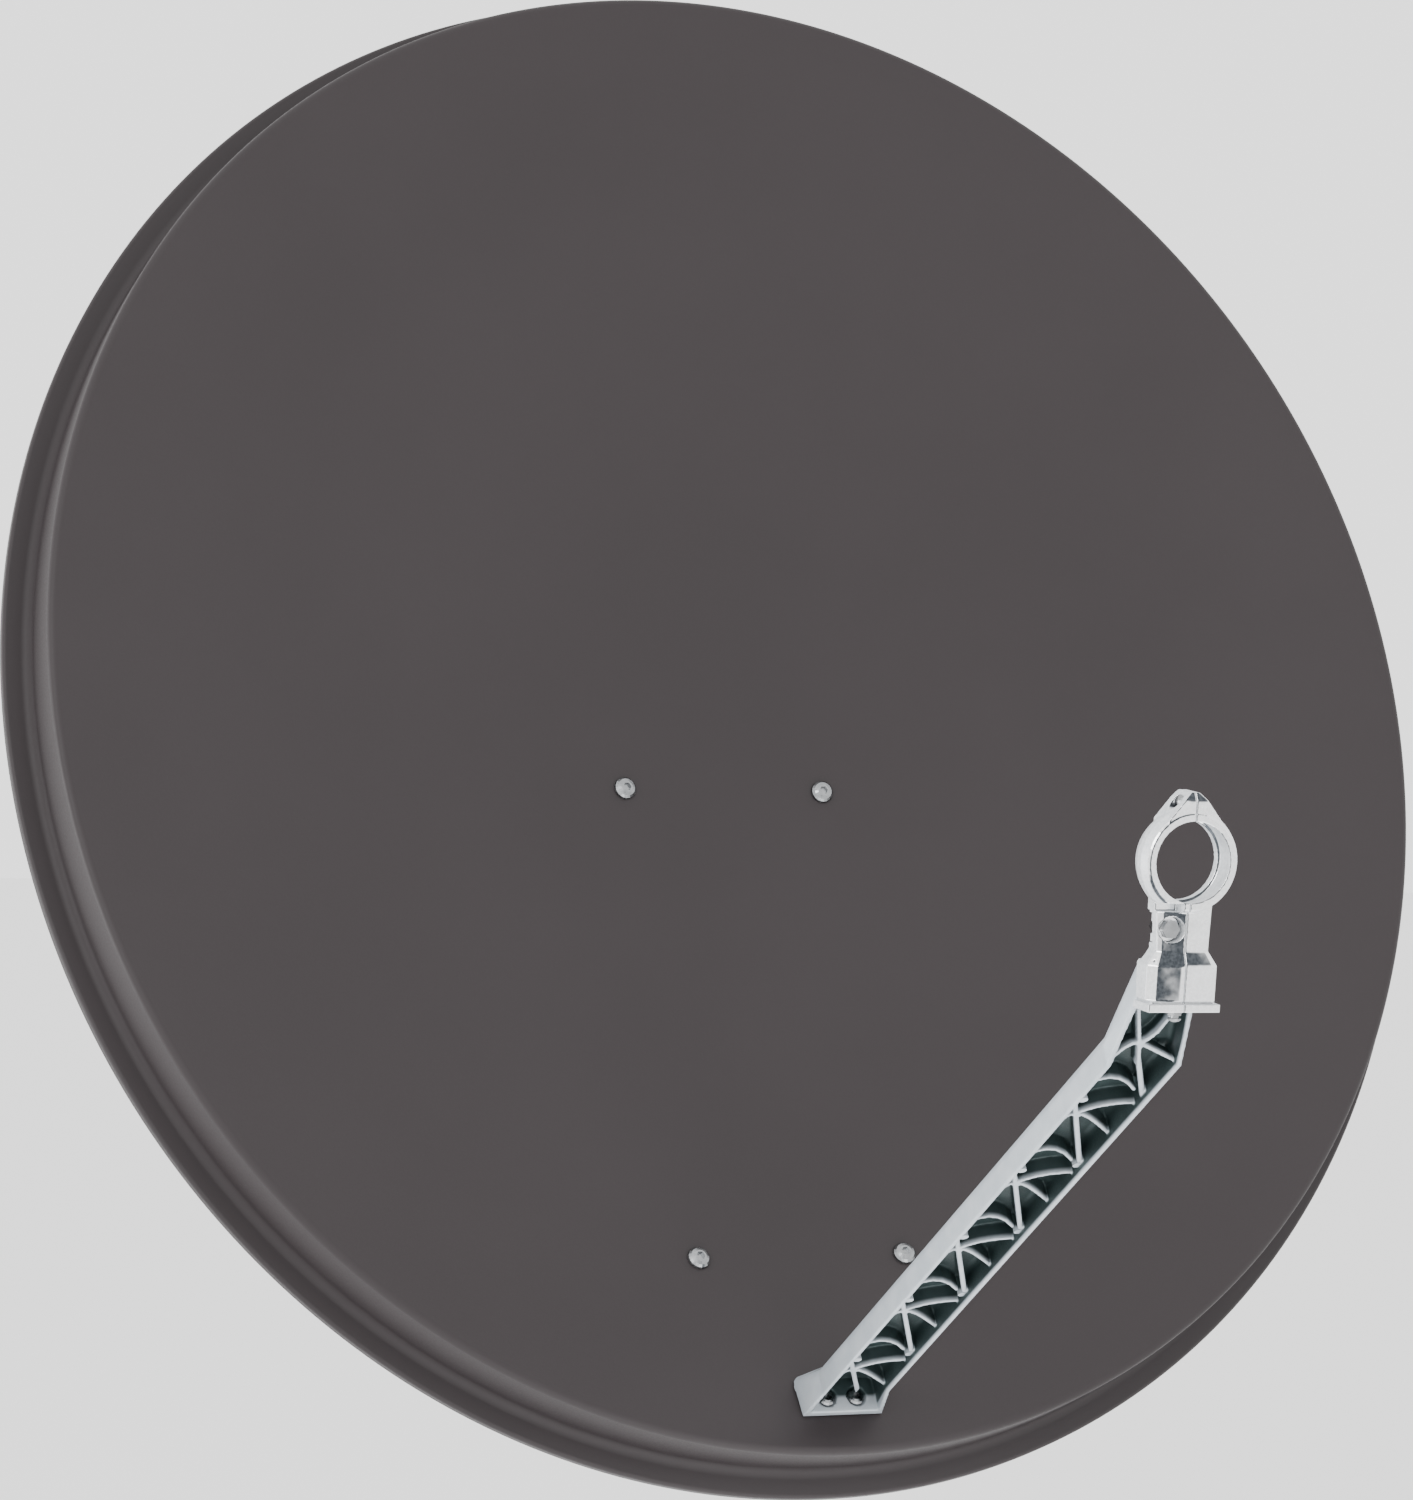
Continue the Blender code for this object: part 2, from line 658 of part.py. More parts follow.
def face_cutter(name):
    """Everything in front of the neck and hood: a slanted shoulder between them, bevelled
    corners, and a left face that leans back a little."""
    neck = [(-0.03, 0.02), (-0.03, -0.0075), (-0.0145, -0.0075), (-0.0108, -0.0042),
            (0, -0.0025), (0.0108, -0.0025), (0.0145, -0.0058), (0.03, -0.0058), (0.03, 0.02)]
    hood = [(-0.03, 0.02), (-0.03, -0.0062), (-0.0180, -0.0062), (-0.0135, -0.0018),
            (0, 0), (0.0138, 0), (0.0180, -0.0040), (0.03, -0.0040), (0.03, 0.02)]
    stations = ((-0.0120, neck), (-0.0440, neck), (-0.0505, hood), (-0.0664, hood))
    sections = [[Vector((x, q, a)) for x, a in shape] for q, shape in stations]
    cutter = loft(name, sections, HOLDER)
    return cut(cutter, cylinder(name + "_disc", RING_FRONT - 0.0015, -0.03, 0.03, HOLDER @ RING, 48))


def ring_profile():
    """The ring's section as (radius, a): a seat for the feed neck between two lips inside, a
    rounded front edge and a swelling back outside."""
    return [(BORE_LIP, 0), (RING_FRONT - 0.0010, 0), (RING_FRONT, -0.0010),
            (RING_OUTER, -0.0048), (RING_OUTER, -0.0085), (RING_OUTER - 0.0014, -0.0125),
            (RING_OUTER - 0.0030, -RING_DEPTH), (BORE_LIP, -RING_DEPTH),
            (BORE_LIP, -0.0125), (BORE, -0.0120), (BORE, -0.0035), (BORE_LIP, -0.0030),
            (BORE_LIP, 0)]


def make_holder_solid(name):
    body = prism(name, [holder_outline()], -RING_DEPTH + GAP, -GAP, HOLDER)
    cut(body, face_cutter(name + "_face"))
    boss_slope = loft(name + "_boss_slope", [
        [Vector((side, q, a)) for q, a in ((0.0170, 0.004), (0.0330, 0.004), (0.0330, -0.0045))]
        for side in (-0.03, 0.03)], HOLDER)
    cut(body, boss_slope)
    cut(body, cylinder(name + "_clear", BORE + 0.0006, -0.03, 0.01, HOLDER @ RING, 48))
    join(body, turned(name + "_ring", ring_profile(), HOLDER @ RING, 48))
    lip = box(name + "_lip", (-LIP_HALF, -0.0712, -RING_DEPTH - 0.0008),
              (LIP_HALF, -0.0675, 0.0008), HOLDER)
    join(body, lip)
    groove = box(name + "_groove", (-LIP_HALF + 0.0024, -0.0676, -RING_DEPTH),
                 (LIP_HALF - 0.0024, -0.0664, -0.0010), HOLDER)
    join(body, groove)
    cut(body, box(name + "_back", (-0.03, -0.0487, -0.03), (0.03, -0.0262, NECK_BACK), HOLDER))
    inner = BLOCK_HALF - 0.0027
    cut(body, box(name + "_room", (-inner, -0.0668, -0.03), (inner, -0.0480, -0.0040), HOLDER))
    cut(body, box(name + "_floor", (-0.03, -0.08, -0.03), (0.03, -0.060, -0.0148), HOLDER))
    cut(body, cylinder(name + "_bolt_hole", M4 + GAP, -0.02, 0.02, HOLDER @ HOLDER_BOLT, 16))
    return body


def axis_at(place, x):
    return HOLDER @ Matrix.Translation((x, place[0], place[1])) @ SIDE_AXIS


def make_holder(parent, moving):
    left = make_holder_solid("lnb_holder_left")
    cut(left, box("right_half", (-HALF_GAP, -0.1, -0.06), (0.05, 0.06, 0.05), HOLDER))
    right = make_holder_solid("lnb_holder_right")
    cut(right, box("left_half", (-0.05, -0.1, -0.06), (HALF_GAP, 0.06, 0.05), HOLDER))
    cut(left, cylinder("ring_screw_hole", M4 + GAP, -0.02, 0.02, axis_at(RING_SCREW, 0), 16))
    cut(right, cylinder("ring_screw_seat", M4 + GAP, -0.01, 0.0048, axis_at(RING_SCREW, 0), 16))
    cut(left, cylinder("screw_notch", 0.0037, -0.02, -BOSS_HALF, axis_at(RING_SCREW, 0)))
    cut(left, box("ledge", (-0.03, -0.0258, -0.0085), (-0.0030, -0.0215, 0.01), HOLDER))
    bolt = HOLDER @ Matrix.Translation(NECK_BOLT)
    room = box("tongue_room", (-0.03, -0.0408, -0.03), (0.01, -0.0272, TONGUE_FRONT + GAP), HOLDER)
    cut(left, room)
    cut(left, cylinder("neck_recess", 0.0060, 0, 0.02, bolt, 28))
    cut(left, cylinder("neck_bolt_hole", M5 + GAP, -0.02, 0.01, bolt, 16))
    tongue = box("tongue", (-0.0125, -0.0405, NECK_BACK + GAP), (0.0020, -0.0275, TONGUE_FRONT), HOLDER)
    join(right, tongue)
    cut(right, cylinder("fork_end", M5 + GAP, -0.02, 0.0, bolt, 16))
    fork = box("fork", (-0.02, -M5 - GAP, -0.02), (0.0, M5 + GAP, 0.0), bolt)
    cut(right, fork)
    publish(left, POLISHED, parent, smooth=True)
    publish(right, POLISHED, moving, smooth=True)


def make_holder_fasteners(parent):
    side = axis_at(RING_SCREW, -BOSS_HALF - GAP) @ Matrix.Rotation(math.pi, 4, "X")
    publish(round_bolt("ring_screw", M4, 0.0085, side, socket=False), STEEL, parent, smooth=True)
    seat = HOLDER @ Matrix.Translation(NECK_BOLT + Vector((0, 0, GAP)))
    publish(hex_bolt("neck_bolt", M5, 0.0118, seat), STEEL, parent)
    back = Matrix.Translation((NECK_BOLT.x, NECK_BOLT.y, NECK_BACK - GAP))
    publish(nut("neck_nut", M5, HOLDER @ back @ Matrix.Rotation(math.pi, 4, "X")), STEEL, parent)
    below = HOLDER @ HOLDER_BOLT
    publish(nut("holder_nut", M4, below @ Matrix.Translation((0, 0, GAP)), 0.0022), STEEL, parent)
    end = below @ Matrix.Translation((0, 0, 0.0040))
    publish(round_bolt("holder_bolt", M4, 0.0150, end, socket=False), STEEL, parent, smooth=True)


# ---------------------------------------------------------------- mast clamp

def slot_arc(centre, radius, width, first, last):
    """A curved slot about a pivot, with round ends; angles in degrees."""
    outer = arc(centre, radius + width, first, last, 8)
    inner = arc(centre, radius - width, last, first, 8)
    ends = []
    for angle, turn in ((last, 0), (first, 180)):
        a = math.radians(angle)
        middle = (centre[0] + radius * math.cos(a), centre[1] + radius * math.sin(a))
        ends.append(arc(middle, width, angle + turn, angle + turn + 180, 6)[1:-1])
    return outer + ends[0] + inner + ends[1]


def ear_outline():
    """The bracket's side plate: local x forward to back (world Y), y up (world Z)."""
    head = arc((PIVOT.y, PIVOT.z), 0.019, 60, 165, 5)
    nose = arc((-0.139, -0.004), 0.0115, 150, 262, 5)
    return [(WEB_BACK - 0.0005, -0.072), (WEB_BACK - 0.0005, 0.060)] + head + nose \
        + [(-0.108, -0.0395), (-0.060, -0.072)]


def bolt_angle(lean_change):
    """Direction in degrees from the pivot to the lock bolt for a change of tilt, in (Y, Z)."""
    down = (CHORD.to_3x3() @ Vector((0, -1, 0)))
    return math.degrees(math.atan2(down.z, down.y) - lean_change) % 360


def make_mast_bracket():
    body = box("mast_bracket", (-EAR_OUTER + 0.001, WEB_FRONT, -0.0715),
               (EAR_OUTER - 0.001, WEB_BACK, 0.0595))
    turn = Matrix(((0, 0, 1, 0), (1, 0, 0, 0), (0, 1, 0, 0), (0, 0, 0, 1)))
    slack = math.radians(1.5)
    slot = slot_arc((PIVOT.y, PIVOT.z), LOCK_RADIUS, M8 + GAP,
                    bolt_angle(TILT_UP + slack), bolt_angle(-TILT_DOWN - slack))
    pin = circle(M8 + GAP, 32, (PIVOT.y, PIVOT.z))
    for low in (-EAR_OUTER, EAR_OUTER - EAR_THICKNESS):
        join(body, prism("ear", [ear_outline(), slot, pin], low, low + EAR_THICKNESS, turn))
    for x, z in bolt_places():
        cut(body, box("square_hole", (x - 0.0043, WEB_FRONT - 0.01, z - 0.0043),
                      (x + 0.0043, WEB_BACK + 0.01, z + 0.0043)))
    return publish(body, ZINC)


def bolt_places():
    return [(side * CLAMP_BOLT_X, height * JAW_Z) for height in (1, -1) for side in (-1, 1)]


def toothed_face(reach, teeth):
    """Points of one toothed flank of the mast's V groove, from its outer end to its root."""
    slope = math.radians(30)
    root = MAST_RADIUS / math.cos(slope)
    points = []
    for i in range(teeth * 2 + 1):
        x = reach * (1 - i / (teeth * 2))
        bite = 0.0011 if i % 2 else 0.0
        points.append((x + bite * math.sin(slope), root - x * math.tan(slope)
                       + bite * math.cos(slope)))
    return points


def make_saddle():
    """The fixed toothed saddle between the bracket and the mast."""
    back = -WEB_BACK - GAP
    flank = toothed_face(0.030, 8)
    upper = [(0.031, back)] + [(0.031, flank[0][1] + 0.0002)] + flank
    outline = upper + [(-x, y) for x, y in reversed(upper[:-1])]
    body = prism("mast_saddle", [[(x, -y) for x, y in outline]], -0.055, 0.055,
                 Matrix.Identity(4))
    return publish(body, ZINC)


def jaw_outline():
    flank = toothed_face(0.030, 8)
    right = [(0.0100, 0.0400), (0.0300, 0.0262), (0.0520, 0.0225), (0.0520, 0.0125),
             (0.0310, 0.0116)] + flank
    return right + [(-x, y) for x, y in reversed(right[:-1])]


def make_jaw(name, z, moving):
    body = prism(name, [jaw_outline()], z - JAW_HEIGHT / 2, z + JAW_HEIGHT / 2,
                 Matrix.Identity(4))
    backwards = Matrix.Rotation(-math.pi / 2, 4, "X")
    for side, word in ((-1, "left"), (1, "right")):
        x = side * CLAMP_BOLT_X
        place = Matrix.Translation((x, 0, z)) @ backwards
        cut(body, cylinder("jaw_hole", M8 + GAP, 0, 0.06, place, 20))
        seat = Matrix.Translation((x, 0.0215, z)) @ backwards
        cut(body, cylinder("nut_seat", 0.0095, 0, 0.03, seat, 20))
        spot = Matrix.Translation((x, 0.0215 + GAP, z)) @ backwards
        label = name.replace("mast_jaw", "clamp_nut")
        publish(nut(f"{label}_{word}", M8, spot), STEEL, moving)
    return publish(body, ZINC, moving)


def make_clamp_bolts():
    names = ("upper_left", "upper_right", "lower_left", "lower_right")
    forwards = Matrix.Rotation(math.pi / 2, 4, "X")
    for name, (x, z) in zip(names, bolt_places()):
        place = Matrix.Translation((x, WEB_FRONT - GAP, z)) @ forwards
        bolt = round_bolt("clamp_bolt_" + name, M8, CLAMP_BOLT_END - WEB_FRONT, place, False)
        publish(bolt, STEEL, smooth=True)


def make_elevation_hardware(tilting):
    across = Matrix.Translation(PIVOT) @ SIDE_AXIS
    head = across @ Matrix.Translation((0, 0, -EAR_OUTER - GAP)) @ Matrix.Rotation(math.pi, 4, "X")
    publish(hex_bolt("elevation_pivot_bolt", M8, 2 * EAR_OUTER + 0.014, head), STEEL)
    publish(nut("elevation_pivot_nut", M8, across @ Matrix.Translation((0, 0, EAR_OUTER + GAP))),
            STEEL)
    down = CHORD.to_3x3() @ Vector((0, -1, 0))
    spot = Matrix.Translation(PIVOT + LOCK_RADIUS * down)
    inside = CHEEK_OUTER - CHEEK_THICKNESS - 0.0001 - GAP
    for name, side in (("left", -1), ("right", 1)):
        outward = spot @ Matrix.Rotation(side * math.pi / 2, 4, "Y")
        shank = EAR_OUTER + 0.013 - inside
        head = outward @ Matrix.Translation((0, 0, inside)) @ Matrix.Rotation(math.pi, 4, "X")
        publish(hex_bolt("elevation_lock_bolt_" + name, M8, shank, head), STEEL, tilting)
        seat = outward @ Matrix.Translation((0, 0, EAR_OUTER + GAP))
        publish(nut("elevation_lock_nut_" + name, M8, seat), STEEL, tilting)


# ---------------------------------------------------------------- the whole dish

def build():
    tilting = new_empty("tilt_axis", PIVOT)
    opening = new_empty("lnb_clamp_axis", HOLDER.translation)
    upper = new_empty("upper_jaw_axis", (0, 0, JAW_Z))
    lower = new_empty("lower_jaw_axis", (0, 0, -JAW_Z))
    make_reflector(tilting)
    make_back_frame(tilting)
    make_reflector_fasteners(tilting)
    make_feed_arm(tilting)
    make_arm_fasteners(tilting)
    make_holder(tilting, opening)
    make_holder_fasteners(tilting)
    make_mast_bracket()
    make_saddle()
    make_jaw("mast_jaw_upper", JAW_Z, upper)
    make_jaw("mast_jaw_lower", -JAW_Z, lower)
    make_clamp_bolts()
    make_elevation_hardware(tilting)


build()
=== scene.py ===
"""Looks of the offset satellite dish: a smooth powder-coated reflector, a die-cast feed arm and
feed clamp with rounded edges, and procedural metal on every part of the mount."""

import json
import math

import bmesh
import bpy
from mathutils import Matrix, Vector


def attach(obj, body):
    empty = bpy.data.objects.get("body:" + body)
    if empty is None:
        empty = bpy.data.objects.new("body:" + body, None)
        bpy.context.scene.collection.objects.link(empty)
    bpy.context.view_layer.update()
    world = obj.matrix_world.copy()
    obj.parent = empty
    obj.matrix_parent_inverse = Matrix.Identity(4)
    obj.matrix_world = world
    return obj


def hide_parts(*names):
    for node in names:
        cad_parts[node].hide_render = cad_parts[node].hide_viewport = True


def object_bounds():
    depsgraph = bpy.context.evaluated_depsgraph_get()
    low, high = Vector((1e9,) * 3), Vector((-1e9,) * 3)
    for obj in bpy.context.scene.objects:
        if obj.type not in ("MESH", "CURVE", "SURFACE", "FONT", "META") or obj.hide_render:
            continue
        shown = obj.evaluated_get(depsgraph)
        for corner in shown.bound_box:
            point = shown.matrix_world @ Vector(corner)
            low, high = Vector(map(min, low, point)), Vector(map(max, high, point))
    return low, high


# The reflector, as in the CAD: metres, in the frame of its rim plane
HALF_WIDTH = 0.4038
HALF_HEIGHT = 0.4288
FOCAL_LENGTH = 0.50
OFFSET_ANGLE = math.acos(HALF_WIDTH / HALF_HEIGHT)
SHEET = 0.0015
SKIRT_DEPTH = 0.039
FLANGE = 0.0212
LIP_DEPTH = 0.006
RIM_CENTRE = (0.0, -0.1682, 0.2138)
LEAN = math.radians(19.0)
RINGS = 72
STEPS = 320

# The feed arm's open face below and above its knee, for telling its inside, which gets painted
# shade, from its outside; depths and distances in metres, each direction a unit vector
ARM_KNEE = (0.0, -0.6391, 0.0320)
ARM_INWARD = (0.0, 0.5150, 0.8572)
ARM_ALONG = (0.0, -0.8572, 0.5150)
TIP_INWARD = (0.0, 0.8415, 0.5402)
TIP_ALONG = (0.0, -0.5402, 0.8415)
TIP_TAPER = 0.108
ARM_INNER_HALF_WIDTH = 0.0171
ARM_OUTER_HALF_WIDTH = 0.0184
FOOT_BELOW_KNEE = 0.378
FOOT_FLARE = 0.16
FLOOR_DEPTH = 0.0141
BACK_DEPTH = 0.0152
KNEE_NORMAL = (0.0, -0.9241, 0.3821)
TIP_THINNER = 0.0023
FOOT_DROP = 0.17

# Ejector pads at the arm's ribs: side, x, distance ahead of the cell's node, depth of the top
FIRST_NODE = -0.0576
RIB_PITCH = 0.075
RIB_CELLS = 5
PAD_RADIUS = 0.0022
PAD_ROOT = 0.0128
PADS = (("left", -0.0158, 0.0225, 0.0003), ("right", 0.0152, -0.0545, 0.0036))

# Voxel sizes and smoothing passes of the rounded castings
ARM_VOXEL = 0.0006
CLAMP_VOXEL = 0.0003
SMOOTHING_PASSES = 3

# The feed clamp's front faces look this way, and those leaning the second way get a darker
# painted reflection in their colour
CLAMP_FRONT = (0.0, -0.99452, -0.10453)
CLAMP_PAINTED_REFLECTION = (-1.0, -0.0366, 0.3482)

# Camera and light
CAMERA_PLACE = (-0.9244, -2.4279, 0.1566)
CAMERA_TURN = (90.50, -1.09, -21.50)
CAMERA_LENS = 104.1
FLOOR_BELOW = 0.40
FLOOR_HALF_SIZE = 30.0
KEY_PLACE = (-2.3, -2.4, 1.5)
KEY_POWER = 42.0
KEY_SIZE = 1.6
KEY_TARGET = (0.0, -0.3, 0.15)
FILL_PLACE = (-2.4, 0.5, -0.25)
FILL_POWER = 48.0
FILL_SIZE = 1.8
FILL_TARGET = (0.0, -0.2, 0.15)
BOUNCE_PLACE = (0.0, -3.2, 0.2)
BOUNCE_TARGET = (0.0, -1.2, -0.59)
BOUNCE_POWER = 1400.0
BOUNCE_ANGLE = math.radians(24.0)
WORLD_LIGHT = 2.00


# ---------------------------------------------------------------- node helpers

def new_material(name, base, roughness, metallic=0.0):
    material = bpy.data.materials.new(name)
    material.use_nodes = True
    shader = material.node_tree.nodes["Principled BSDF"]
    shader.inputs["Base Color"].default_value = (*base, 1.0)
    shader.inputs["Roughness"].default_value = roughness
    shader.inputs["Metallic"].default_value = metallic
    return material, material.node_tree, shader


def add(tree, kind, **values):
    node = tree.nodes.new("ShaderNode" + kind)
    for key, value in values.items():
        setattr(node, key, value)
    return node


def place_on(tree, scale=(1.0, 1.0, 1.0), turn=(0.0, 0.0, 0.0)):
    """Object coordinates in metres, stretched and turned."""
    where = add(tree, "TexCoord")
    mapping = add(tree, "Mapping")
    mapping.inputs["Scale"].default_value = scale
    mapping.inputs["Rotation"].default_value = turn
    tree.links.new(where.outputs["Object"], mapping.inputs["Vector"])
    return mapping.outputs["Vector"]


def noise(tree, vector, scale, detail=4.0, roughness=0.55):
    node = add(tree, "TexNoise")
    node.inputs["Scale"].default_value = scale
    node.inputs["Detail"].default_value = detail
    node.inputs["Roughness"].default_value = roughness
    tree.links.new(vector, node.inputs["Vector"])
    return node.outputs["Fac"]


def remap(tree, value, low, high, new_low, new_high):
    node = add(tree, "MapRange", interpolation_type="SMOOTHSTEP")
    node.inputs["From Min"].default_value = low
    node.inputs["From Max"].default_value = high
    node.inputs["To Min"].default_value = new_low
    node.inputs["To Max"].default_value = new_high
    tree.links.new(value, node.inputs["Value"])
    return node.outputs["Result"]


def mix_colours(tree, share, first, second):
    """Mixes two colours, each a tuple or another node's output, by a 0 to 1 share."""
    node = add(tree, "Mix", data_type="RGBA")
    tree.links.new(share, node.inputs["Factor"])
    for socket, colour in ((node.inputs[6], first), (node.inputs[7], second)):
        if isinstance(colour, tuple):
            socket.default_value = (*colour, 1.0)
        else:
            tree.links.new(colour, socket)
    return node.outputs[2]


def bump(tree, shader, height, distance, strength=1.0, before=None):
    node = add(tree, "Bump")
    node.inputs["Strength"].default_value = strength
    node.inputs["Distance"].default_value = distance
    tree.links.new(height, node.inputs["Height"])
    if before is not None:
        tree.links.new(before, node.inputs["Normal"])
    tree.links.new(node.outputs["Normal"], shader.inputs["Normal"])
    return node.outputs["Normal"]


# ---------------------------------------------------------------- materials

def powder_coat():
    """Satin anthracite powder coat: a fine orange peel, and the faintest cloudiness."""
    material, tree, shader = new_material("anthracite_coat", (0.0248, 0.0204, 0.0217), 0.5)
    cloud = noise(tree, place_on(tree), 5.0, 3.0)
    grain = noise(tree, place_on(tree), 900.0, 2.0)
    share = remap(tree, cloud, 0.3, 0.7, 0.0, 1.0)
    tree.links.new(mix_colours(tree, share, (0.0238, 0.0196, 0.0208), (0.0258, 0.0213, 0.0226)),
                   shader.inputs["Base Color"])
    tree.links.new(remap(tree, grain, 0.25, 0.75, 0.46, 0.56), shader.inputs["Roughness"])
    peel = bump(tree, shader, noise(tree, place_on(tree), 420.0, 2.0), 0.00004)
    bump(tree, shader, grain, 0.00002, 1.0, peel)
    shader.inputs["Specular IOR Level"].default_value = 0.25
    return material


def along(tree, vector, direction):
    """Length of a vector along a direction."""
    product = add(tree, "VectorMath", operation="DOT_PRODUCT")
    product.inputs[1].default_value = direction
    tree.links.new(vector, product.inputs[0])
    return product.outputs["Value"]


def math_node(tree, operation, first, second):
    """A Math node whose second value is a number or another node's output."""
    node = add(tree, "Math", operation=operation)
    tree.links.new(first, node.inputs[0])
    if isinstance(second, float):
        node.inputs[1].default_value = second
    else:
        tree.links.new(second, node.inputs[1])
    return node.outputs["Value"]


def from_knee(tree):
    """Where a point lies, counted from the middle of the arm's knee."""
    where = add(tree, "TexCoord")
    offset = add(tree, "VectorMath", operation="SUBTRACT")
    offset.inputs[1].default_value = ARM_KNEE
    tree.links.new(where.outputs["Object"], offset.inputs[0])
    return offset.outputs["Vector"]


def arm_depth(tree, place):
    """Depth in metres below the arm's open face, on either side of the knee."""
    return math_node(tree, "MINIMUM", along(tree, place, ARM_INWARD),
                     along(tree, place, TIP_INWARD))


def past_knee_and_foot(tree, place):
    """Distance beyond the knee, where the arm tapers, and distance below the top of its foot,
    where it widens; each is zero elsewhere."""
    tip = math_node(tree, "MAXIMUM", along(tree, place, TIP_ALONG), 0.0)
    down = along(tree, place, tuple(-a for a in ARM_ALONG))
    foot = math_node(tree, "MAXIMUM", math_node(tree, "SUBTRACT", down, FOOT_BELOW_KNEE), 0.0)
    return tip, foot


def above_floor(tree, place, depth, foot):
    """One above the channel's floor, zero on the arm's back; the arm is thinner past its knee."""
    thinner = remap(tree, along(tree, place, KNEE_NORMAL), 0.0, 0.001, 0.0, TIP_THINNER)
    level = math_node(tree, "ADD", depth, thinner)
    level = math_node(tree, "SUBTRACT", level, math_node(tree, "MULTIPLY", foot, FOOT_DROP))
    return remap(tree, level, FLOOR_DEPTH, BACK_DEPTH, 1.0, 0.0)


def between_walls(tree, place, tip, foot):
    """First one inside the arm's side walls and zero on their outer faces, then one on the
    walls alone."""
    width = math_node(tree, "MAXIMUM", along(tree, place, (1.0, 0.0, 0.0)),
                      along(tree, place, (-1.0, 0.0, 0.0)))
    width = math_node(tree, "ADD", width, math_node(tree, "MULTIPLY", tip, TIP_TAPER))
    width = math_node(tree, "SUBTRACT", width, math_node(tree, "MULTIPLY", foot, FOOT_FLARE))
    inner = remap(tree, width, ARM_INNER_HALF_WIDTH, ARM_OUTER_HALF_WIDTH, 1.0, 0.0)
    wall = remap(tree, width, ARM_INNER_HALF_WIDTH - 0.0010, ARM_INNER_HALF_WIDTH - 0.0003,
                 0.0, 1.0)
    return inner, wall


def arm_casting():
    """Blasted light-grey casting with painted shade, nearly black, on the channel's floor, the
    rib sides and the inner faces of its walls.
    """
    material, tree, shader = new_material("arm_casting", (0.46, 0.50, 0.53), 0.5, 0.35)
    mottle = noise(tree, place_on(tree), 60.0, 5.0)
    grain = noise(tree, place_on(tree), 1400.0, 3.0)
    place = from_knee(tree)
    tip, foot = past_knee_and_foot(tree, place)
    inner, wall = between_walls(tree, place, tip, foot)
    depth = arm_depth(tree, place)
    inner = math_node(tree, "MULTIPLY", inner, above_floor(tree, place, depth, foot))
    # Painted shade: the inner faces of the walls, the rib sides from 4.6 to 7.5 mm below the open
    # face and the channel's floor blend to a nearly black colour where shade falls
    wall_shade = math_node(tree, "MULTIPLY", remap(tree, depth, 0.0006, 0.0022, 0.0, 1.0), wall)
    deep_shade = math_node(tree, "MAXIMUM", remap(tree, depth, 0.0046, 0.0075, 0.0, 1.0), wall_shade)
    inside = math_node(tree, "MULTIPLY", deep_shade, inner)
    light = mix_colours(tree, remap(tree, mottle, 0.3, 0.7, 0.0, 1.0),
                        (0.42, 0.465, 0.505), (0.49, 0.53, 0.565))
    # The nearly black, mottled colour of the painted shade
    painted_dark = mix_colours(tree, remap(tree, mottle, 0.3, 0.7, 0.0, 1.0),
                       (0.018, 0.033, 0.034), (0.034, 0.054, 0.055))
    tree.links.new(mix_colours(tree, inside, light, painted_dark),
                   shader.inputs["Base Color"])
    tree.links.new(remap(tree, grain, 0.3, 0.7, 0.42, 0.58), shader.inputs["Roughness"])
    rough = bump(tree, shader, grain, 0.00004)
    bump(tree, shader, mottle, 0.00012, 0.6, rough)
    return material


def frame_casting():
    """Plain blasted casting for the parts behind the reflector."""
    material, tree, shader = new_material("frame_casting", (0.42, 0.44, 0.45), 0.5, 0.6)
    mottle = noise(tree, place_on(tree), 45.0, 5.0)
    grain = noise(tree, place_on(tree), 1200.0, 3.0)
    share = remap(tree, mottle, 0.3, 0.7, 0.0, 1.0)
    tree.links.new(mix_colours(tree, share, (0.37, 0.39, 0.40), (0.46, 0.48, 0.49)),
                   shader.inputs["Base Color"])
    tree.links.new(remap(tree, grain, 0.3, 0.7, 0.40, 0.58), shader.inputs["Roughness"])
    bump(tree, shader, grain, 0.00005)
    return material


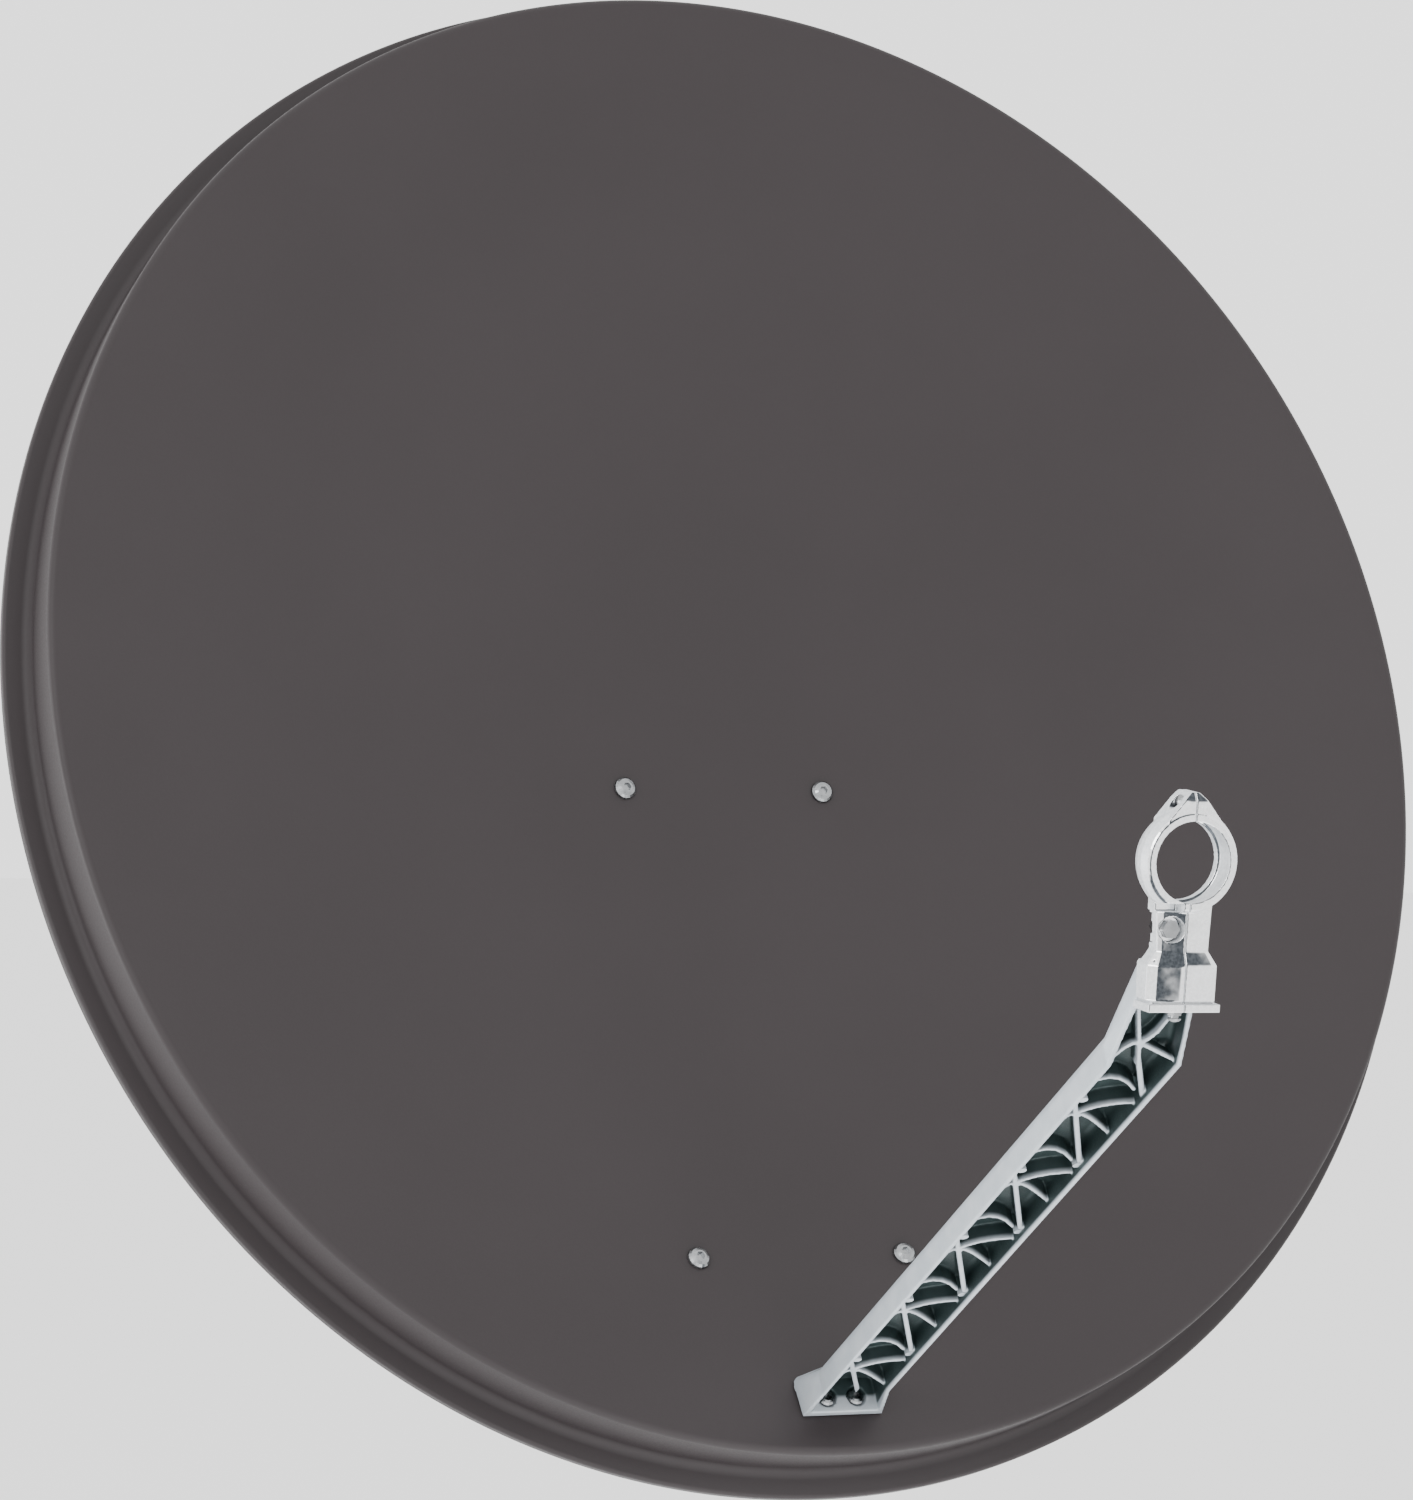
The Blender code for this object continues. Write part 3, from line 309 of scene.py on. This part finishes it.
def polished_casting():
    """Bright tumbled casting: front faces polished and wavy, sides blasted and matt; front faces
    leaning one way carry a darker, wavy painted reflection in their colour.
    """
    material, tree, shader = new_material("polished_casting", (0.82, 0.83, 0.84), 0.15, 1.0)
    wave = noise(tree, place_on(tree), 85.0, 2.0)
    speck = noise(tree, place_on(tree), 700.0, 4.0)
    share = remap(tree, speck, 0.35, 0.65, 0.0, 1.0)
    facing = along(tree, add(tree, "TexCoord").outputs["Normal"], CLAMP_FRONT)
    front = remap(tree, facing, 0.35, 0.70, 0.0, 1.0)
    bright = mix_colours(tree, share, (0.84, 0.85, 0.86), (0.92, 0.93, 0.94))
    # Painted reflection: polished faces leaning towards the second direction take a darker
    # colour, its edge made wavy by noise, standing in for dim surroundings mirrored in the metal
    lean = along(tree, add(tree, "TexCoord").outputs["Normal"], CLAMP_PAINTED_REFLECTION)
    reflection_band = math_node(tree, "ADD", lean, remap(tree, wave, 0.3, 0.7, -0.03, 0.05))
    painted_reflection = math_node(tree, "MULTIPLY", remap(tree, reflection_band, 0.02, 0.17, 0.0, 1.0),
                      remap(tree, reflection_band, 0.54, 0.70, 1.0, 0.0))
    painted_dark = mix_colours(tree, share, (0.040, 0.046, 0.053), (0.075, 0.083, 0.092))
    polished = mix_colours(tree, painted_reflection, bright, painted_dark)
    matt = mix_colours(tree, share, (0.60, 0.625, 0.65), (0.70, 0.72, 0.74))
    tree.links.new(mix_colours(tree, front, matt, polished), shader.inputs["Base Color"])
    tree.links.new(remap(tree, front, 0.0, 1.0, 0.35, 1.0), shader.inputs["Metallic"])
    fine = remap(tree, speck, 0.3, 0.75, -0.05, 0.10)
    tree.links.new(math_node(tree, "ADD", remap(tree, front, 0.0, 1.0, 0.45, 0.16), fine),
                   shader.inputs["Roughness"])
    soft = bump(tree, shader, wave, 0.0006, 0.5)
    bump(tree, shader, speck, 0.00003, 0.7, soft)
    return material


def zinc_plate():
    """Zinc-plated steel: pale spangle, a brushed direction and dull patches."""
    material, tree, shader = new_material("zinc_plate", (0.52, 0.53, 0.54), 0.35, 1.0)
    spangle = add(tree, "TexVoronoi")
    spangle.inputs["Scale"].default_value = 160.0
    tree.links.new(place_on(tree), spangle.inputs["Vector"])
    brush = noise(tree, place_on(tree, (900.0, 40.0, 40.0)), 1.0, 2.0)
    patch = noise(tree, place_on(tree), 30.0, 3.0)
    share = remap(tree, spangle.outputs["Distance"], 0.1, 0.7, 0.0, 1.0)
    tree.links.new(mix_colours(tree, share, (0.47, 0.48, 0.49), (0.60, 0.61, 0.62)),
                   shader.inputs["Base Color"])
    tree.links.new(remap(tree, patch, 0.3, 0.7, 0.26, 0.44), shader.inputs["Roughness"])
    bump(tree, shader, brush, 0.00002)
    return material


def bright_steel():
    """Stainless fasteners: turned marks and small handling scratches."""
    material, tree, shader = new_material("bright_steel", (0.68, 0.69, 0.70), 0.2, 1.0)
    marks = noise(tree, place_on(tree, (300.0, 300.0, 2200.0)), 1.0, 3.0)
    smear = noise(tree, place_on(tree), 220.0, 3.0)
    tree.links.new(mix_colours(tree, smear, (0.16, 0.165, 0.17), (0.40, 0.41, 0.42)),
                   shader.inputs["Base Color"])
    tree.links.new(remap(tree, smear, 0.3, 0.7, 0.14, 0.30), shader.inputs["Roughness"])
    bump(tree, shader, marks, 0.00002)
    return material


# ---------------------------------------------------------------- reflector

def arc(centre, radius, first, last, steps):
    angles = [math.radians(first + (last - first) * i / steps) for i in range(steps + 1)]
    return [(centre[0] + radius * math.cos(a), centre[1] + radius * math.sin(a)) for a in angles]


def reflector_profile():
    """(radius, w) along the front face from the centre over the rim to the rolled lip."""
    bowl = []
    for i in range(1, RINGS + 1):
        share = i / RINGS
        depth = HALF_WIDTH ** 2 * (1 - share ** 2) / (4 * FOCAL_LENGTH)
        bowl.append((HALF_WIDTH * share, -depth * math.cos(OFFSET_ANGLE)))
    edge = arc((HALF_WIDTH + 0.00135, -0.00334), 0.0036, 108, 8, 12)
    fillet = arc((HALF_WIDTH + 0.0115, -SKIRT_DEPTH + 0.0060), 0.0060, 188, 270, 12)
    outer = HALF_WIDTH + FLANGE
    lip = arc((outer - 0.0022, -SKIRT_DEPTH - 0.0022), 0.0022, 90, 0, 8)
    return bowl + edge[1:] + fillet + lip + [(outer, -SKIRT_DEPTH - LIP_DEPTH)]


def oval(radius, w, angle):
    """A point of the profile turned to an angle, stretched to the oval and sheared."""
    stretch = HALF_HEIGHT / HALF_WIDTH - 1
    x = radius * math.cos(angle)
    v = radius * math.sin(angle) * (1 + stretch * min(radius, HALF_WIDTH) / radius)
    if radius < HALF_WIDTH:
        v += w * math.tan(OFFSET_ANGLE)
    return x, v, w


def to_row(point):
    x, v, w = point
    y = RIM_CENTRE[1] + v * math.sin(LEAN) - w * math.cos(LEAN)
    z = RIM_CENTRE[2] + v * math.cos(LEAN) + w * math.sin(LEAN)
    return x, y, z


def make_reflector(material):
    profile = reflector_profile()
    centre_w = -HALF_WIDTH ** 2 / (4 * FOCAL_LENGTH) * math.cos(OFFSET_ANGLE)
    points = [to_row((0, centre_w * math.tan(OFFSET_ANGLE), centre_w))]
    for radius, w in profile:
        for step in range(STEPS):
            points.append(to_row(oval(radius, w, 2 * math.pi * step / STEPS)))
    faces = [(0, 1 + i, 1 + (i + 1) % STEPS) for i in range(STEPS)]
    for ring in range(len(profile) - 1):
        inner, outer = 1 + ring * STEPS, 1 + (ring + 1) * STEPS
        for i in range(STEPS):
            j = (i + 1) % STEPS
            faces.append((inner + i, outer + i, outer + j, inner + j))
    mesh = bpy.data.meshes.new("reflector_skin")
    mesh.from_pydata(points, [], faces)
    mesh.shade_smooth()
    mesh.materials.append(material)
    skin = bpy.data.objects.new("reflector_skin", mesh)
    bpy.context.scene.collection.objects.link(skin)
    sheet = skin.modifiers.new("sheet", "SOLIDIFY")
    sheet.thickness = SHEET
    sheet.offset = -1.0
    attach(skin, "dish")
    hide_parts("reflector")


# ---------------------------------------------------------------- castings

def cast_copy(frame, node, body, voxel, material):
    """Stands for a CAD casting: the same solid with its edges and rib roots rounded off."""
    source = frame["nodes"][node]
    raw = bpy.data.objects.new(node + "_raw", source.data.copy())
    bpy.context.scene.collection.objects.link(raw)
    raw.matrix_world = source.matrix_world
    remesh = raw.modifiers.new("remesh", "REMESH")
    remesh.mode = "VOXEL"
    remesh.voxel_size = voxel
    remesh.use_smooth_shade = True
    relax = raw.modifiers.new("relax", "SMOOTH")
    relax.factor = 0.5
    relax.iterations = SMOOTHING_PASSES
    graph = bpy.context.evaluated_depsgraph_get()
    mesh = bpy.data.meshes.new_from_object(raw.evaluated_get(graph))
    bpy.data.objects.remove(raw)
    mesh.shade_smooth()
    mesh.materials.clear()
    mesh.materials.append(material)
    made = bpy.data.objects.new(node + "_cast", mesh)
    bpy.context.scene.collection.objects.link(made)
    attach(made, body)
    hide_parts(node)


def make_arm_pads(material):
    """The round ejector pads at both ends of each diagonal rib."""
    knee, down, inward = Vector(ARM_KNEE), Vector(ARM_ALONG), Vector(ARM_INWARD)
    turn = inward.to_track_quat("Z", "Y").to_matrix().to_4x4()
    for cell in range(RIB_CELLS):
        s = FIRST_NODE - cell * RIB_PITCH
        for side, x, ahead, top in PADS:
            shape = bmesh.new()
            bmesh.ops.create_cone(shape, cap_ends=True, segments=24, radius1=PAD_RADIUS,
                                  radius2=PAD_RADIUS, depth=PAD_ROOT - top)
            middle = knee + (s + ahead) * down + (top + PAD_ROOT) / 2 * inward
            place = Matrix.Translation(middle + Vector((x, 0, 0))) @ turn
            bmesh.ops.transform(shape, matrix=place, verts=shape.verts)
            mesh = bpy.data.meshes.new("arm_pad")
            shape.to_mesh(mesh)
            shape.free()
            mesh.materials.append(material)
            pad = bpy.data.objects.new(f"arm_pad_{side}_{cell + 1}", mesh)
            bpy.context.scene.collection.objects.link(pad)
            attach(pad, "dish")


def paint_nodes(frame, finishes):
    """Gives every shown CAD node the material of its slot."""
    slots = {part["node"]: part["material_slot"] for part in frame["record"]["subparts"]}
    for name, node in frame["nodes"].items():
        node.data.materials.clear()
        node.data.materials.append(finishes[slots[name]])


# ---------------------------------------------------------------- studio

def make_floor(low):
    mesh = bpy.data.meshes.new("studio_floor")
    size = FLOOR_HALF_SIZE
    height = low.z - FLOOR_BELOW
    corners = [(-size, -size, height), (size, -size, height), (size, size, height),
               (-size, size, height)]
    mesh.from_pydata(corners, [], [(0, 1, 2, 3)])
    white, _, _ = new_material("studio_floor", (0.9, 0.9, 0.9), 0.8)
    mesh.materials.append(white)
    floor = bpy.data.objects.new("studio_floor", mesh)
    bpy.context.scene.collection.objects.link(floor)


def aim(lamp, place, target):
    """Hangs a lamp at a place, turned towards its target."""
    made = bpy.data.objects.new(lamp.name, lamp)
    bpy.context.scene.collection.objects.link(made)
    made.location = place
    direction = Vector(target) - Vector(place)
    made.rotation_euler = direction.to_track_quat("-Z", "Y").to_euler()


def make_light(name, place, size, power, target):
    lamp = bpy.data.lights.new(name, "AREA")
    lamp.shape = "DISK"
    lamp.size = size
    lamp.energy = power
    aim(lamp, place, target)


def make_bounce():
    """A spot that only meets the floor below the dish, whose light then comes up from it."""
    lamp = bpy.data.lights.new("bounce", "SPOT")
    lamp.energy = BOUNCE_POWER
    lamp.spot_size = BOUNCE_ANGLE
    lamp.spot_blend = 0.6
    lamp.shadow_soft_size = 0.2
    aim(lamp, BOUNCE_PLACE, BOUNCE_TARGET)


def make_world():
    """A white studio all round."""
    world = bpy.data.worlds.new("studio")
    world.use_nodes = True
    sky = world.node_tree.nodes["Background"]
    sky.inputs["Color"].default_value = (1.0, 1.0, 1.0, 1.0)
    sky.inputs["Strength"].default_value = WORLD_LIGHT
    bpy.context.scene.world = world


def make_camera():
    lens = bpy.data.cameras.new("camera")
    lens.lens = CAMERA_LENS
    lens.sensor_width = 36.0
    camera = bpy.data.objects.new("camera", lens)
    bpy.context.scene.collection.objects.link(camera)
    camera.location = CAMERA_PLACE
    camera.rotation_euler = [math.radians(turn) for turn in CAMERA_TURN]
    bpy.context.scene.camera = camera


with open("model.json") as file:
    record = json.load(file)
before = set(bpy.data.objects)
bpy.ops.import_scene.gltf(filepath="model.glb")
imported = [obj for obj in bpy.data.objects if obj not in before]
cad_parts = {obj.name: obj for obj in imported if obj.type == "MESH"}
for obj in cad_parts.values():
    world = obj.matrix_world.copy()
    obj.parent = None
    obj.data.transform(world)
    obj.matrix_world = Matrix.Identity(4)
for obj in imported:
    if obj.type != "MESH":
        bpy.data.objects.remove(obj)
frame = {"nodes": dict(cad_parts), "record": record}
cad_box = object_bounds()
finishes = {
    "painted_sheet": powder_coat(),
    "cast_metal": frame_casting(),
    "polished_casting": polished_casting(),
    "zinc_plate": zinc_plate(),
    "fasteners": bright_steel(),
}
paint_nodes(frame, finishes)
make_reflector(finishes["painted_sheet"])
arm_finish_and_shade = arm_casting()
cast_copy(frame, "feed_arm", "dish", ARM_VOXEL, arm_finish_and_shade)
make_arm_pads(arm_finish_and_shade)
for node, body in (("lnb_holder_left", "dish"), ("lnb_holder_right", "clamp_half")):
    cast_copy(frame, node, body, CLAMP_VOXEL, finishes["polished_casting"])
make_floor(cad_box[0])
make_light("key", KEY_PLACE, KEY_SIZE, KEY_POWER, KEY_TARGET)
make_light("fill", FILL_PLACE, FILL_SIZE, FILL_POWER, FILL_TARGET)
make_bounce()
make_world()
make_camera()
